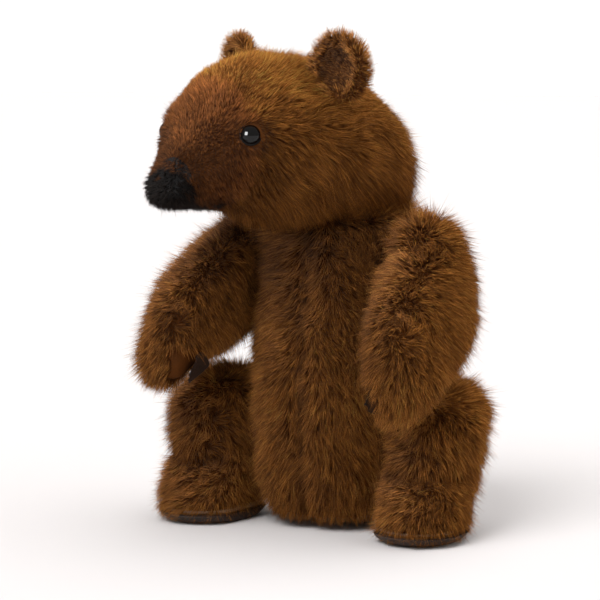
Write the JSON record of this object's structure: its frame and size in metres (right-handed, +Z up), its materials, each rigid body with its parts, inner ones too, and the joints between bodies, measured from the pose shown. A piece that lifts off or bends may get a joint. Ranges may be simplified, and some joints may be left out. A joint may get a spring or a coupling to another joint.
{
  "type": "jointed teddy bear",
  "caption": "Sitting plush bear with disc-jointed head, arms and legs, a short-pile muzzle, black domed eyes and dark leather pads.",
  "frame": {"origin": "middle of the flat seat under the torso", "axes": "+Z up, the torso faces -Y, the bear's left side is +X"},
  "size_m": [0.2214, 0.191, 0.3115],
  "materials": {
    "body_plush": "long brown pile, lighter at the tips",
    "muzzle_plush": "short dense brown pile",
    "ear_plush": "dark brown pile",
    "nose_plush": "short black pile",
    "eye_black": "polished black",
    "pad_leather": "dark brown, fine grain",
    "stuffing": "loose white fibre",
    "pellet_cloth": "plain calico",
    "hardboard": "smooth pressed fibre",
    "steel": "zinc plated",
    "white_plastic": "moulded"
  },
  "bodies": {
    "torso": {"torso_skin": "body_plush", "torso_stuffing": "stuffing", "pellet_bag": "pellet_cloth", "neck_disc_torso": "hardboard", "torso_washers": "steel", "shoulder_disc_torso_left": "hardboard", "shoulder_disc_torso_right": "hardboard", "hip_disc_torso_left": "hardboard", "hip_disc_torso_right": "hardboard"},
    "head": {"head_skin": "body_plush", "head_stuffing": "stuffing", "muzzle_skin": "muzzle_plush", "nose": "nose_plush", "neck_disc_head": "hardboard", "neck_washer_head": "steel", "neck_bolt": "steel", "neck_nut": "steel", "eye_left": "eye_black", "eye_right": "eye_black", "eye_washer_left": "white_plastic", "eye_washer_right": "white_plastic", "ear_back_left": "body_plush", "ear_back_right": "body_plush", "ear_lining_left": "ear_plush", "ear_lining_right": "ear_plush"},
    "arm_left": {"arm_skin_left": "body_plush", "arm_stuffing_left": "stuffing", "palm_pad_left": "pad_leather", "shoulder_disc_arm_left": "hardboard", "shoulder_washer_arm_left": "steel", "shoulder_bolt_left": "steel", "shoulder_nut_left": "steel"},
    "leg_left": {"leg_skin_left": "body_plush", "leg_stuffing_left": "stuffing", "sole_pad_left": "pad_leather", "sole_board_left": "hardboard", "hip_disc_leg_left": "hardboard", "hip_washer_leg_left": "steel", "hip_bolt_left": "steel", "hip_nut_left": "steel"},
    "arm_right": {"arm_skin_right": "body_plush", "arm_stuffing_right": "stuffing", "palm_pad_right": "pad_leather", "shoulder_disc_arm_right": "hardboard", "shoulder_washer_arm_right": "steel", "shoulder_bolt_right": "steel", "shoulder_nut_right": "steel"},
    "leg_right": {"leg_skin_right": "body_plush", "leg_stuffing_right": "stuffing", "sole_pad_right": "pad_leather", "sole_board_right": "hardboard", "hip_disc_leg_right": "hardboard", "hip_washer_leg_right": "steel", "hip_bolt_right": "steel", "hip_nut_right": "steel"}
  },
  "joints": [
    {"name": "neck_turn", "type": "hinge", "parent": "torso", "child": "head", "pos_m": [0, 0, 0.204], "axis": [0, 0, 1], "continuous": true},
    {"name": "shoulder_left", "type": "hinge", "parent": "torso", "child": "arm_left", "pos_m": [0.046, 0, 0.176], "axis": [-0.9903, 0, -0.1392], "range_deg": [0, 66]},
    {"name": "shoulder_right", "type": "hinge", "parent": "torso", "child": "arm_right", "pos_m": [-0.046, 0, 0.176], "axis": [-0.9903, 0, 0.1392], "range_deg": [-5, 26]},
    {"name": "hip_left", "type": "hinge", "parent": "torso", "child": "leg_left", "pos_m": [0.04553, -0.0096, 0.058], "axis": [0.9903, 0.1392, 0], "range_deg": [0, 100]},
    {"name": "hip_right", "type": "hinge", "parent": "torso", "child": "leg_right", "pos_m": [-0.04553, -0.0096, 0.058], "axis": [0.9903, -0.1392, 0], "range_deg": [0, 100]}
  ]
}
